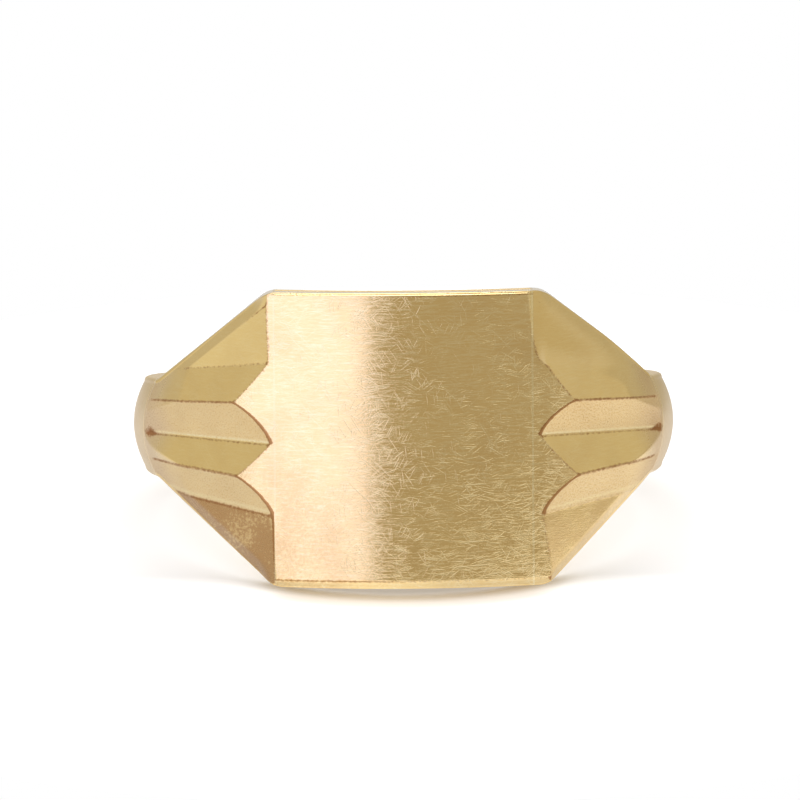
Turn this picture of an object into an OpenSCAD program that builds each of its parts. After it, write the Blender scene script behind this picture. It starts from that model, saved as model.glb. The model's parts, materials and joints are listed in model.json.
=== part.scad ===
// Signet ring with a curved, plain rectangular face and fluted shoulders, built up from separate pieces:
// a face plate, two head walls, two shoulders and a shank, joined by thin films of solder.
// The finger hole's axis is Z, the face looks along -Y, and the origin is the middle of the finger hole.

/* [Finger hole] */
// Inside diameter of the ring
finger_d = 18.95; // [17:0.05:21]

/* [Head] */
// Height of the face along the finger
head_h = 11.45; // [10:0.05:12.5]
// Thickness of metal over the finger, from the hole to the face
head_t = 2.05; // [1.9:0.05:2.4]
// Width of the face between the roots of the teeth at its two ends
face_w = 10.4; // [10.2:0.1:11]
// How far the head's corners stand out past that width, on each side
corner_out = 0.13; // [0.05:0.01:0.3]
// Length of the face plate between its two end joints
plate_w = 10; // [9:0.1:10.1]
// Thickness of the face plate
plate_t = 1; // [0.9:0.02:1.02]
// Thickness of each head wall, along the finger
wall_t = 1.05; // [0.8:0.05:1.5]
// Size of the bevel along the long edges of the face
face_bevel = 0.28; // [0.1:0.02:0.4]

/* [Shoulders] */
// Turn of each shoulder's flat from the middle of the face, in degrees
flat_turn = 53.5; // [52:0.5:55]
// Slope of the two sides of each rib, in degrees
rib_slope = 24.5; // [18:0.5:28]
// Width of each rib where it meets the face
rib_w = 2.95; // [2.7:0.05:3.1]
// Angle at which the outer foot of each rib leans in towards the shank, in degrees
rib_lean = 4.5; // [3:0.5:6]
// Width of the bevel along each shoulder's outer edges, beside the face
edge_bevel = 0.5; // [0.4:0.05:0.8]
// Width of that bevel beside the shank
end_bevel = 0.55; // [0.3:0.05:0.7]
// Slope of that bevel, in degrees
edge_slope = 24; // [20:1:35]
// How far outside the finger hole's radius the head's outline comes down to the shank's width
neck_out = 0.3; // [0.2:0.05:0.5]
// Slope at which each shoulder's sides open out from the shank, in degrees
throat_slope = 35; // [30:1:45]

/* [Shank] */
// Width of the shank where it meets the shoulders
shank_w = 3.9; // [3.5:0.1:4.2]
// Width of the shank at the back
back_w = 3.1; // [2.8:0.1:3.4]
// Thickness of the shank where it meets the shoulders
shank_t = 1.36; // [1.3:0.02:1.45]
// Thickness of the shank at the back
back_t = 1.2; // [1.1:0.02:1.3]
// Height of the shank's domed outside above its edges
dome = 0.55; // [0.3:0.05:0.7]
// Turn from the middle of the face to each joint of shoulder and shank, in degrees
joint_turn = 72; // [71:0.5:74]

/* [Joints] */
// Thickness of each film of solder
film = 0.08; // [0.06:0.01:0.1]

/* [Hidden] */
$fn = 128;

finger_r = finger_d / 2;
face_r = finger_r + head_t;
plate_r = face_r - plate_t;
// Half the length of the plate's own metal, and of the space it fills with its solder.
plate_x = plate_w / 2 - film / 2;
joint_x = plate_w / 2 + film / 2;
// Where the face's edge meets the shoulder's flat, and how far that flat lies from the finger axis.
notch_x = face_w / 2;
notch_y = -sqrt(face_r * face_r - notch_x * notch_x);
flat_d = notch_x * sin(flat_turn) - notch_y * cos(flat_turn);
notch_s = notch_x * cos(flat_turn) + notch_y * sin(flat_turn);
// The head's outline from the front: corner_x is where its top edge turns down towards the shank.
corner_x = notch_x + corner_out;
shank_x = finger_r + neck_out;
// Where those two ends of a shoulder's outer edge lie along its flat, counted from the flat's middle.
corner_s = (corner_x - flat_d * sin(flat_turn)) / cos(flat_turn);
shank_s = (shank_x - flat_d * sin(flat_turn)) / cos(flat_turn);
// The shank's outside is a ring whose middle lies a little towards the face.
shank_shift = (shank_t - back_t) / (1 + cos(joint_turn));
shank_r = finger_r + back_t + shank_shift;
dome_r = (shank_w * shank_w / 4 + dome * dome) / (2 * dome);
big = 40;

gold = [0.80, 0.66, 0.38];
satin_gold = [0.83, 0.70, 0.47];
solder_gold = [0.87, 0.76, 0.50];

// The ring's own cylinder of metal from r_in to r_out between two heights.
module hoop(r_in, r_out, low, high) {
    rotate_extrude() translate([r_in, low]) square([r_out - r_in, high - low]);
}

// A slab across the front of the ring, between two places along X.
module front_slab(x_low, x_high) {
    translate([x_low, -big, -big / 2]) cube([x_high - x_low, big, big]);
}

// A solid half space: everything on the finger's side of the plane x = 0.
module behind() {
    translate([-big, -big / 2, -big / 2]) cube([big, big, big]);
}

// Turns +X to face a place on the right of the ring, counted in degrees from the middle of the face.
module turned(turn) {
    rotate([0, 0, turn - 90]) children();
}

// The face plate's section, with bevelled long edges.
module plate_ring() {
    rotate_extrude() polygon([
        [plate_r, -head_h / 2],
        [face_r - face_bevel, -head_h / 2],
        [face_r, -head_h / 2 + face_bevel],
        [face_r, head_h / 2 - face_bevel],
        [face_r - face_bevel, head_h / 2],
        [plate_r, head_h / 2]
    ]);
}

module wall_ring() {
    hoop(finger_r, plate_r - film, head_h / 2 - wall_t, head_h / 2);
}

module wall_film_ring() {
    hoop(plate_r - film, plate_r, head_h / 2 - wall_t, head_h / 2);
}

module face_plate() {
    intersection() {
        plate_ring();
        front_slab(-plate_x, plate_x);
        under_corners();
    }
}

module head_wall() {
    intersection() {
        wall_ring();
        front_slab(-plate_x, plate_x);
    }
}

module wall_solder() {
    intersection() {
        wall_film_ring();
        front_slab(-plate_x, plate_x);
    }
}

// Solder on the right end of the face plate and the head walls, against the shoulder.
module face_solder() {
    intersection() {
        union() {
            plate_ring();
            hoop(finger_r, plate_r, head_h / 2 - wall_t, head_h / 2);
            hoop(finger_r, plate_r, -head_h / 2, -head_h / 2 + wall_t);
        }
        front_slab(plate_x, joint_x);
        under_corners();
    }
}

// The outline of head and shoulders from the front, as a prism along Y.
module front_prism() {
    rotate([90, 0, 0]) linear_extrude(big) polygon([
        [0, -head_h / 2],
        [corner_x, -head_h / 2],
        [shank_x, -shank_w / 2],
        [big, -shank_w / 2],
        [big, shank_w / 2],
        [shank_x, shank_w / 2],
        [corner_x, head_h / 2],
        [0, head_h / 2]
    ]);
}

// A rib's two sides: the inner one rises from the middle of the flat, the outer one falls to the foot that leans in.
module rib() {
    intersection() {
        translate([flat_d, 0, 0]) rotate([0, rib_slope, 0]) behind();
        translate([flat_d, notch_s, rib_w]) rotate([-rib_lean, 0, 0]) rotate([0, -rib_slope, 0]) behind();
        translate([0, -big / 2, 0]) cube([big, big, big]);
    }
}
// Everything under the flat and its two ribs.
module under_flat() {
    turned(flat_turn) {
        translate([flat_d, 0, 0]) behind();
        rib();
        mirror([0, 0, 1]) rib();
    }
}

// Everything under the sloping bevel along the shoulder's upper outer edge.
module under_edge_bevel() {
    corner_z = head_h / 2 - edge_bevel;
    lean = atan((corner_z - shank_w / 2 + end_bevel) / (shank_s - corner_s));
    turned(flat_turn) translate([flat_d, corner_s, corner_z]) rotate([-lean, 0, 0])
        rotate([0, -edge_slope, 0]) behind();
}

// Everything under all four of those bevels, which also clip the face plate's corners.
module under_corners() {
    intersection_for(side = [0, 1], half = [0, 1])
        mirror([side, 0, 0]) mirror([0, 0, half]) under_edge_bevel();
}

// Everything under the plane in which the shoulder's upper side leaves the shank.
module under_throat() {
    turned(joint_turn) translate([0, 0, shank_w / 2]) rotate([-throat_slope, 0, 0])
        translate([-big, -big, -2 * big]) cube([2 * big, 2 * big, 2 * big]);
}

module shoulder() {
    difference() {
        intersection() {
            plate_blank();
            front_prism();
            translate([joint_x, -big / 2, -big / 2]) cube([big, big, big]);
            turned(joint_turn) translate([0, -big - film / 2, -big / 2]) cube([big, big, big]);
            under_flat();
            under_edge_bevel();
            mirror([0, 0, 1]) under_edge_bevel();
            under_throat();
            mirror([0, 0, 1]) under_throat();
        }
        cylinder(r = finger_r, h = big, center = true);
    }
}

// The solid that the shoulders are cut from: as high and as far out as the face.
module plate_blank() {
    rotate_extrude() polygon([
        [0, -head_h / 2],
        [face_r - face_bevel, -head_h / 2],
        [face_r, -head_h / 2 + face_bevel],
        [face_r, head_h / 2 - face_bevel],
        [face_r - face_bevel, head_h / 2],
        [0, head_h / 2]
    ]);
}

// The whole domed hoop that the shank is a part of, narrowing towards the back.
module shank_hoop() {
    front_y = -shank_x / tan(joint_turn);
    back_y = finger_r + back_t;
    difference() {
        intersection() {
            translate([0, -shank_shift, 0]) rotate_extrude() intersection() {
                translate([shank_r - dome_r, 0]) circle(r = dome_r);
                translate([finger_r - 1, -shank_w / 2]) square([big, shank_w]);
            }
            rotate([90, 0, 90]) translate([0, 0, -big / 2]) linear_extrude(big) polygon([
                [front_y - 1, -shank_w / 2],
                [front_y, -shank_w / 2],
                [back_y, -back_w / 2],
                [back_y, back_w / 2],
                [front_y, shank_w / 2],
                [front_y - 1, shank_w / 2]
            ]);
        }
        cylinder(r = finger_r, h = big, center = true);
    }
}

// The wedge in front of both shoulder joints, plus a margin along Y on each joint's own plane.
module front_wedge(margin) {
    for (side = [0, 1]) mirror([side, 0, 0])
        turned(joint_turn) translate([0, -big + margin, -big / 2]) cube([big, big, big]);
}

module shank_solder() {
    intersection() {
        shank_hoop();
        turned(joint_turn) translate([0, -film / 2, -big / 2]) cube([big, film, big]);
    }
}

module signet_face_plate() color(gold) face_plate();
module upper_head_wall() color(gold) head_wall();
module lower_head_wall() color(gold) mirror([0, 0, 1]) head_wall();
module right_shoulder() color(satin_gold) shoulder();
module left_shoulder() color(satin_gold) mirror([1, 0, 0]) shoulder();
module shank() color(gold) difference() {
    shank_hoop();
    front_wedge(film / 2);
}
module right_face_solder() color(solder_gold) face_solder();
module left_face_solder() color(solder_gold) mirror([1, 0, 0]) face_solder();
module upper_wall_solder() color(solder_gold) wall_solder();
module lower_wall_solder() color(solder_gold) mirror([0, 0, 1]) wall_solder();
module right_shank_solder() color(solder_gold) shank_solder();
module left_shank_solder() color(solder_gold) mirror([1, 0, 0]) shank_solder();

signet_face_plate();
upper_head_wall();
lower_head_wall();
left_shoulder();
right_shoulder();
shank();
left_face_solder();
right_face_solder();
upper_wall_solder();
lower_wall_solder();
left_shank_solder();
right_shank_solder();
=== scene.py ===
import json
from math import acos, atan, cos, pi, radians, sin, sqrt, tan
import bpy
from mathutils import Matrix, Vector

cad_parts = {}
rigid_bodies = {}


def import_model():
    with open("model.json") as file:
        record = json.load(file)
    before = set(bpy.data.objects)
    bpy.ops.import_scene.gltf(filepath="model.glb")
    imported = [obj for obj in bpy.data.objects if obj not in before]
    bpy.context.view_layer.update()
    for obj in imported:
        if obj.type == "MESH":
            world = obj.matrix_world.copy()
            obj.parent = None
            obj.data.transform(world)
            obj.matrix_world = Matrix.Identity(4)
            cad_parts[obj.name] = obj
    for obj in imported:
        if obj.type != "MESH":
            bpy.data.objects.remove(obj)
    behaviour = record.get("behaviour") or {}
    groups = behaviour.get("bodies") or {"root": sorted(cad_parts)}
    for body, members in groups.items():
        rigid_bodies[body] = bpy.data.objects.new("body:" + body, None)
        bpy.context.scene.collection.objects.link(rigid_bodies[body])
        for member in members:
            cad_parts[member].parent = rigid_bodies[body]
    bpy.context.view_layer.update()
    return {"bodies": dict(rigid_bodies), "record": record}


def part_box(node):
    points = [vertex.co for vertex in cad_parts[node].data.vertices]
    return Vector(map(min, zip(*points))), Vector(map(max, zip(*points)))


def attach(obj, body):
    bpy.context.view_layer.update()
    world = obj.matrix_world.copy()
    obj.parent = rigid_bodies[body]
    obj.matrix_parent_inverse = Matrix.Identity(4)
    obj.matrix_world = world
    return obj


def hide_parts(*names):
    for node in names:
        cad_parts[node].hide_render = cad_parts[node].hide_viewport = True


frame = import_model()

from types import SimpleNamespace

import bpy
import numpy as np
from bpy.props import FloatProperty, FloatVectorProperty, PointerProperty
from mathutils import Matrix, Vector

bl_info = {
    "name": "Fluted Signet Ring",
    "version": (1, 0, 0),
    "blender": (4, 5, 0),
    "location": "View3D > Sidebar > Signet Ring",
    "description": "Builds the finished surfaces and metals of a fluted gold signet ring round its frame",
    "category": "Add Mesh",
}

MM = 0.001
BODY = next(iter(frame["bodies"]))
SIDES = (-1, 1)
# How far outside the finger hole the head's outline comes down to the shank's width.
NECK_OUT = 0.3 * MM
# Rounding of the head's long edges, of the shank's edges, and of the finger hole's edges in the shank and the
# head.
HEAD_ROUND = 0.06 * MM
SHANK_ROUND = 0.2 * MM
BORE_ROUND = 0.16 * MM
INNER_ROUND = 0.05 * MM
# Grid columns between the lines that run down a shoulder, from its lower to its upper edge, and on the shank.
SHOULDER_COLUMNS = (8, 26, 26, 26, 26, 26, 26, 8)
SHANK_COLUMNS = 56


# ---------------------------------------------------------------------------------------------
# Sizes and colours
# ---------------------------------------------------------------------------------------------

def corner(node, end, axis):
    """One coordinate of a CAD node's box, in metres: end 0 is its lowest corner and 1 its highest."""
    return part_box(node)[end][axis]


def bore_radius():
    """The finger hole's radius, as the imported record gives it."""
    hole = next(m for m in frame["record"]["mounts"] if m["kind"] == "bore")
    return hole["dims"]["r_mm"] * MM


def length(name, value, text):
    """A size in metres, which Blender shows in its own units."""
    return FloatProperty(name=name, description=text, default=value, precision=5,
                         unit="LENGTH", subtype="DISTANCE")


def angle(name, degrees, text):
    """An angle, which Blender shows in degrees."""
    return FloatProperty(name=name, description=text, default=radians(degrees),
                         unit="ROTATION", subtype="ANGLE")


def colour(name, value, text):
    """A linear colour."""
    return FloatVectorProperty(name=name, description=text, default=value,
                               size=3, min=0.0, max=1.0, subtype="COLOR")


class SignetSizes(bpy.types.PropertyGroup):
    """Sizes of the finished ring. The ones that the frame settles start from the frame."""

    finger_r: length("Finger hole", bore_radius(), "Radius of the finger hole")
    face_r: length("Face", -corner("signet_face_plate", 0, 1), "Radius of the curved face")
    plate_r: length("Plate underside", -corner("upper_wall_solder", 0, 1), "Radius of the plate's underside")
    wall_r: length("Head wall", -corner("upper_head_wall", 0, 1), "Outer radius of each head wall")
    wall_z: length("Wall inside", corner("upper_head_wall", 0, 2), "Height of each head wall's inner side")
    head_z: length("Head half", corner("signet_face_plate", 1, 2), "Half the head's height along the finger")
    plate_x: length("Plate half", corner("signet_face_plate", 1, 0), "Half the face plate's width")
    joint_x: length("Face joint", corner("right_face_solder", 1, 0), "Where each shoulder meets its solder")
    back_r: length("Back", corner("shank", 1, 1), "Outer radius at the middle of the back")
    shank_z: length("Shank half", corner("right_shank_solder", 1, 2), "Half the shank's width at a shoulder")
    back_z: length("Back half", 1.55 * MM, "Half the shank's width at the back")
    shank_swell: length("Swell", 0.16 * MM, "How much thicker the shank is at a shoulder than at the back")
    dome: length("Dome", 0.55 * MM, "Height of the shank's rounded outside above its edges")
    joint_turn: angle("Shank joint", 72, "Turn from the middle of the face to each shank joint")
    flat_turn: angle("Flat turn", 53.5, "Turn from the middle of the face to the middle of a shoulder's flat")
    notch_x: length("Face edge", 5.2 * MM, "Half the face's width between the roots of its teeth")
    rib_width: length("Rib width", 2.95 * MM, "Width of a rib where it meets the face")
    rib_slope: angle("Rib slope", 24.5, "Slope of a rib's sides")
    rib_lean: angle("Rib lean", 4.5, "Angle at which a rib's outer foot leans in towards the shank")
    rib_sag: FloatProperty(name="Rib sag", description="Hollow of each rib's lower side, 0 for flat",
                           default=0.55, min=0.0, max=0.8)
    throat: angle("Throat", 35, "Slope at which a shoulder's sides open out from the shank")
    edge_bevel: length("Edge bevel", 0.5 * MM, "Width of a shoulder's outer bevel beside the face")
    end_bevel: length("End bevel", 0.55 * MM, "Width of that bevel beside the shank")
    edge_slope: angle("Bevel slope", 24, "Slope of a shoulder's outer bevel")
    low_bevel: length("Lower bevel", 0.27 * MM, "Size of the bevel along the face's lower long edge")
    high_bevel: length("Upper bevel", 0.1 * MM, "Size of the bevel along the face's upper long edge")
    worn_edge: length("Worn edge", 0.022 * MM, "Softness of the cut edges")


class SignetColours(bpy.types.PropertyGroup):
    """Colours of the metals and the stage."""

    gold: colour("Gold", (0.90, 0.66, 0.31), "Polished yellow gold")
    pale: colour("Pale gold", (0.93, 0.78, 0.56), "Gold where it is scratched, brushed or rubbed dull")
    # Bright gold is partly a painted sheen: scratches, brushed marks and rubbed lines are painted towards it.
    bright: colour("Bright gold", (1.0, 0.85, 0.52), "Gold along fresh scratches and rubbed lines")
    solder: colour("Solder", (0.91, 0.68, 0.34), "The slightly paler gold of the solder")
    # Tarnish also colours the painted shade and the painted dark reflections along the face's edge and bevels.
    tarnish: colour("Tarnish", (0.38, 0.17, 0.055), "Brown tarnish and polishing dirt in the corners")
    floor: colour("Floor", (0.86, 0.86, 0.86), "The pale floor")


class HandWork:
    """How far a shoulder's cuts stray from their drawn places, in metres.

    valley is the middle valley's height beside the face and beside the shank. high_foot and low_crest are
    how far out those lines stand beside the face. edge is how far the face's edge stands out, and lean its
    slant. tip is how far the lowest flat is twisted to face upwards. soft is how much softer the upper half has
    been worn. corner and taper are where the head's outline turns down towards the shank, and how steeply, for
    the lower half and the upper half.
    """

    def __init__(self, valley, high_foot, low_crest, edge, lean, tip, soft, corner, taper):
        self.corner = {-1: corner[0] * MM, 1: corner[1] * MM}
        self.taper = {-1: taper[0], 1: taper[1]}
        self.tip = tip
        self.valley = np.array(valley) * MM
        self.high_foot = high_foot * MM
        self.low_crest = low_crest * MM
        self.edge = edge * MM
        self.lean = lean
        self.soft = soft


HANDS = {
    -1: HandWork(valley=(-0.14, -0.13), high_foot=0.03, low_crest=0.06, edge=-0.05, lean=0.028, tip=0.0,
                 soft=0.0, corner=(5.08, 5.26), taper=(0.81, 0.846)),
    1: HandWork(valley=(0.13, -0.08), high_foot=0.6, low_crest=0.2, edge=0.08, lean=-0.035, tip=0.05,
                soft=1.0, corner=(5.57, 5.41), taper=(0.90, 0.80)),
}


def measures(context):
    """The panel's sizes, and the ones that follow from them."""
    group = context.scene.signet_sizes
    m = SimpleNamespace(**{name: getattr(group, name) for name in SignetSizes.__annotations__})
    notch_y = sqrt(m.face_r ** 2 - m.notch_x ** 2)
    m.film = m.joint_x - m.plate_x
    m.flat_d = m.notch_x * sin(m.flat_turn) + notch_y * cos(m.flat_turn)
    m.notch_s = m.notch_x * cos(m.flat_turn) - notch_y * sin(m.flat_turn)
    neck_x = m.finger_r + NECK_OUT
    m.shank_s = (neck_x - m.flat_d * sin(m.flat_turn)) / cos(m.flat_turn)
    m.front_y = -neck_x / tan(m.joint_turn)
    return m


# ---------------------------------------------------------------------------------------------
# The ring's surfaces, as functions of the turn round the finger and the height along it
# ---------------------------------------------------------------------------------------------

def soft_min(a, b, width):
    """The smaller of two values, with a parabola of the given width where they cross."""
    share = np.clip(0.5 + 0.5 * (b - a) / width, 0, 1)
    return b + (a - b) * share - width * share * (1 - share)


def soft_max(a, b, width):
    """The larger of two values, rounded in the same way."""
    return -soft_min(-a, -b, width)


def rise(value, low, high):
    """A smooth step from 0 at low to 1 at high."""
    t = np.clip((value - low) / (high - low), 0, 1)
    return t * t * (3 - 2 * t)


def place_on_flat(m, turn):
    """Distance along a shoulder's flat from its middle, for a turn from the middle of the face."""
    return m.flat_d * np.tan(turn - m.flat_turn)


def shank_outside(m, turn):
    """The shank's outside along its middle line: a ring whose thickness grows a little towards the face."""
    return m.back_r + m.shank_swell * (1 + np.cos(turn)) / (1 + cos(m.joint_turn))


def by_side(side, name, half):
    """A number of the outline, for one side or an array of sides, and for the lower (-1) or upper (1) half."""
    return np.where(side > 0, getattr(HANDS[1], name)[half], getattr(HANDS[-1], name)[half])


# Rounding of the outline where the head starts to taper, and where the throat meets the shank.
TAPER_SOFT = 0.3 * MM
THROAT_SOFT = 0.1 * MM


def half_width(m, turn, rho, side, half):
    """Half the ring's width: the head's outline tapers to the throat, and the throat runs into the shank."""
    x = rho * np.abs(np.sin(turn))
    y = -rho * np.cos(turn)
    shank = m.shank_z - (m.shank_z - m.back_z) * np.clip((y - m.front_y) / (m.back_r - m.front_y), 0, 1)
    fall = by_side(side, "taper", half) * (x - by_side(side, "corner", half))
    head = soft_min(m.head_z, m.head_z - fall, TAPER_SOFT)
    opening = shank + tan(m.throat) * rho * np.sin(m.joint_turn - turn) - THROAT_SOFT
    shoulder = soft_max(soft_min(head, opening, TAPER_SOFT), shank, THROAT_SOFT)
    return np.where(turn < m.joint_turn, shoulder, shank)


def cut_lines(m, turn, side):
    """Heights of the lines that run down a shoulder: low foot, low crest, valley, high crest, high foot."""
    s = place_on_flat(m, turn)
    hand = HANDS[side]
    run = np.clip((s - m.notch_s) / (m.shank_s - m.notch_s), 0, 1)
    fade = (1 - run) ** 2
    foot = m.rib_width - tan(m.rib_lean) * (s - m.notch_s)
    crest = foot / 2
    valley = hand.valley[0] + (hand.valley[1] - hand.valley[0]) * run
    return [-foot, -crest - hand.low_crest * fade, valley, crest, foot + hand.high_foot * fade]


def bevel_line(m, turn, side, half):
    """Height at which a shoulder's outer bevel starts: a straight line on the flat, inside the outline."""
    hand = HANDS[side]
    corner_s = (hand.corner[half] - m.flat_d * sin(m.flat_turn)) / cos(m.flat_turn)
    share = (place_on_flat(m, turn) - corner_s) / (m.shank_s - corner_s)
    start = m.head_z - m.edge_bevel
    return start + (m.shank_z - m.end_bevel - start) * share


def hollow(t, sag):
    """Height of a rib's side from its foot at t = 0 to its crest at t = 1, straight or sagging.

    It goes on falling for a short way past the foot, so that the flat always wins there.
    """
    t = np.maximum(t, -0.3)
    return t * (1 - sag + sag * t)


# Heights between which the upper rib's foot gets softer on a worn shoulder, and how many times softer it gets.
WORN_FROM, WORN_TO = 1.7 * MM, 2.6 * MM
WORN_MORE = 9
# Share of a bevel's depth that is left beside the face, and the run over which it reaches its full depth.
BEVEL_LEFT = 0.15
BEVEL_RUN = 1.2 * MM


def cut_height(m, turn, z, side):
    """Distance of the cut shoulder from the finger's axis, measured square to its flat.

    Two ribs stand on the flat. Each is the lower of its two sides, and the two together are the higher of them,
    with the valley where they cross. A bevel takes down the outer edges, and fades away beside the face.
    """
    hand = HANDS[side]
    low_foot, low_crest, valley, high_crest, high_foot = cut_lines(m, turn, side)
    lift = high_crest * tan(m.rib_slope)
    worn = m.worn_edge * (1 + WORN_MORE * hand.soft * rise(z, WORN_FROM, WORN_TO))
    high = soft_min(lift * (high_foot - z) / (high_foot - high_crest),
                    lift * hollow((z - valley) / (high_crest - valley), m.rib_sag), m.worn_edge)
    low = soft_min(lift * (valley - z) / (valley - low_crest),
                   lift * hollow((z - low_foot) / (low_crest - low_foot), m.rib_sag), m.worn_edge)
    ribs = soft_max(soft_max(high, low, 0.5 * m.worn_edge), 0, worn)
    edge_shift = hand.edge + hand.lean * z
    plane = m.flat_d + edge_shift * (sin(m.flat_turn) - cos(m.flat_turn) * m.notch_x / m.face_r)
    fade = BEVEL_LEFT + (1 - BEVEL_LEFT) * rise(place_on_flat(m, turn) - m.notch_s, 0, BEVEL_RUN)
    line = np.where(z > 0, bevel_line(m, turn, side, 1), bevel_line(m, turn, side, -1))
    tipped = hand.tip * np.maximum(low_foot - z, 0)
    return soft_min(plane + ribs, plane - tan(m.edge_slope) * fade * (np.abs(z) - line), 2 * worn) + tipped


# Where the cuts start to lift clear of the shank, and how far they have lifted by the given turn after that.
CLEAR_FROM = radians(69)
CLEAR_SPAN = radians(3)
CLEAR_LIFT = 0.25 * MM


def cut_surface(m, turn, z, side):
    """The cut shoulder as a distance from the finger's axis. It lifts clear of the shank before the joint."""
    clear = np.maximum(turn - CLEAR_FROM, 0) / CLEAR_SPAN
    return cut_height(m, turn, z, side) / np.cos(turn - m.flat_turn) + CLEAR_LIFT * clear ** 2


# How much the crown grows per radian of turn, the turn from which it grows faster, and by how much more.
CROWN_GROWTH = 0.6 * MM
CROWN_FAST_TURN = radians(52)
CROWN_FAST_GROWTH = 2.9 * MM
# Turns between which the crown takes on the shank's dome.
DOME_FROM, DOME_TO = radians(38), radians(62)
# How far the crown's upper half stands proud of the shank, and the turns between which that ends in a step.
PROUD = 0.3 * MM
PROUD_FROM, PROUD_TO = radians(66.5), radians(71.5)


def crown_surface(m, turn, z, side):
    """The domed band that the cuts run out on: it grows from the shank towards the face, and loses its dome.

    Its upper half stands a little proud of the shank, and ends in a rounded step just before the joint.
    """
    before = np.maximum(m.joint_turn - turn, 0)
    grown = CROWN_GROWTH * before + CROWN_FAST_GROWTH * np.maximum(CROWN_FAST_TURN - turn, 0)
    middle = shank_outside(m, turn) + grown
    share = z / half_width(m, turn, middle, side, 1)
    proud = PROUD * rise(z, 0.1 * MM, 1.0 * MM) * (1 - rise(turn, PROUD_FROM, PROUD_TO))
    return middle - m.dome * rise(turn, DOME_FROM, DOME_TO) * share ** 2 + proud


# The face's wear is a sum of waves: each has its weight, its lengths across and along the finger in mm, divided
# by a full turn, and its phase. WAVE_HEIGHT is the height of a wave of weight 1.
WAVES = ((1.0, 0.61, 0.93, 0.0), (1.0, 0.47, -1.21, 1.3), (1.4, 2.1, 0.83, 0.4))
WAVE_HEIGHT = 0.0011 * MM
# Rounding between the face and its upper and lower bevel.
HIGH_BEVEL_SOFT = 0.03 * MM
LOW_BEVEL_SOFT = 0.07 * MM


def table_surface(m, turn, z):
    """The face: a cylinder round the finger, bevelled along its long edges, very slightly uneven from wear."""
    x = m.face_r * turn
    uneven = sum(weight * np.sin(x / (across * MM) + z / (along * MM) + phase)
                 for weight, across, along, phase in WAVES)
    bevel = np.abs(z) - (m.head_z - np.where(z > 0, m.high_bevel, m.low_bevel))
    soft = np.where(z > 0, HIGH_BEVEL_SOFT, LOW_BEVEL_SOFT)
    return soft_min(m.face_r, m.face_r - bevel, soft) + WAVE_HEIGHT * (uneven - 3)


# Softness of the edge where the cuts run out on the crown.
CROWN_SOFT = 0.09 * MM


def outside(m, turn, z, side):
    """The finished outside between the shank joints: face, cut shoulder and crown, whichever lies lowest."""
    shaped = soft_min(table_surface(m, side * turn, z), cut_surface(m, turn, z, side), m.worn_edge)
    return soft_min(shaped, crown_surface(m, turn, z, side), CROWN_SOFT)


def face_edge(m, z, side):
    """Turn at which the cut shoulder drops below the face, by repeated correction."""
    turn = np.full_like(z, m.flat_turn - acos(m.flat_d / m.face_r))
    for _ in range(12):
        share = np.clip(cut_height(m, turn, z, side) / table_surface(m, side * turn, z), -1, 0.9999)
        turn = m.flat_turn - np.arccos(share)
    return turn


# ---------------------------------------------------------------------------------------------
# Grids and meshes
# ---------------------------------------------------------------------------------------------

def eased(count, pull=0.5):
    """count + 1 numbers from 0 to 1 that stand closer together near both ends."""
    t = np.linspace(0, 1, count + 1)
    return t - pull * np.sin(2 * pi * t) / (2 * pi)


def chained(counts):
    """Cell number and share within the cell for a row of cells, each divided by its own count."""
    cell = np.concatenate([np.full(n, i) for i, n in enumerate(counts)] + [[len(counts) - 1]])
    share = np.concatenate([eased(n)[:-1] for n in counts] + [[1.0]])
    return cell, share


def spread(knots, cell, share):
    """Values between knots: each column of the result lies in its own cell."""
    cells = np.broadcast_to(cell, knots.shape[1:])[None]
    low = np.take_along_axis(knots, cells, axis=0)[0]
    high = np.take_along_axis(knots, cells + 1, axis=0)[0]
    return low + (high - low) * share


def rounded_corner(first, middle, last, count=6):
    """Points between first and last on the parabola that touches both sides of the corner at middle."""
    t = (np.arange(1, count) / count)[None, :]
    return [a * (1 - t) ** 2 + 2 * b * t * (1 - t) + c * t ** 2 for a, b, c in zip(first, middle, last)]


def joined(parts):
    """Several strips of (rho, turn, z), side by side."""
    return [np.concatenate([part[i] for part in parts], axis=1) for i in range(3)]


def swept_mesh(name, rho, turn, z, side=1, masks=None):
    """A closed solid from rings of points: rows follow each other round the finger, and each is one section.

    The sections are joined by quads, and the first and the last are closed by a flat face each. A side of -1
    mirrors the solid across the middle of the face. The UV map is the distance round the finger and along it,
    in millimetres.
    """
    rows, columns = rho.shape
    x = side * rho * np.sin(turn)
    points = np.stack([x, -rho * np.cos(turn), z], axis=-1).reshape(-1, 3)
    index = np.arange(rows * columns).reshape(rows, columns)
    after = np.roll(index, -1, axis=1)
    quads = np.stack([index[:-1], index[1:], after[1:], after[:-1]], axis=-1).reshape(-1, 4)
    caps = [index[0].tolist(), index[-1][::-1].tolist()]
    if side < 0:
        quads = quads[:, ::-1]
        caps = [cap[::-1] for cap in caps]
    mesh = bpy.data.meshes.new(name)
    mesh.from_pydata(points.tolist(), [], quads.tolist() + caps)
    mesh.shade_smooth()
    mesh.set_sharp_from_angle(angle=radians(60))
    for mask, values in (masks or {}).items():
        layer = mesh.attributes.new(mask, "FLOAT", "POINT")
        layer.data.foreach_set("value", np.broadcast_to(values, rho.shape).astype(np.float32).ravel())
    corners = np.zeros(len(mesh.loops), int)
    mesh.loops.foreach_get("vertex_index", corners)
    flat = np.stack([side * turn * rho, z], axis=-1).reshape(-1, 2) / MM
    mesh.uv_layers.new(name="Surface").data.foreach_set("uv", flat[corners].astype(np.float32).ravel())
    mesh.validate()
    piece = bpy.data.objects.new(name, mesh)
    bpy.context.scene.collection.objects.link(piece)
    return piece


def finished(piece, node, material):
    """Puts a new piece on the ring's body in place of its CAD node, with its metal."""
    piece.data.materials.append(material)
    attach(piece, BODY)
    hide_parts(node)


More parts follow.
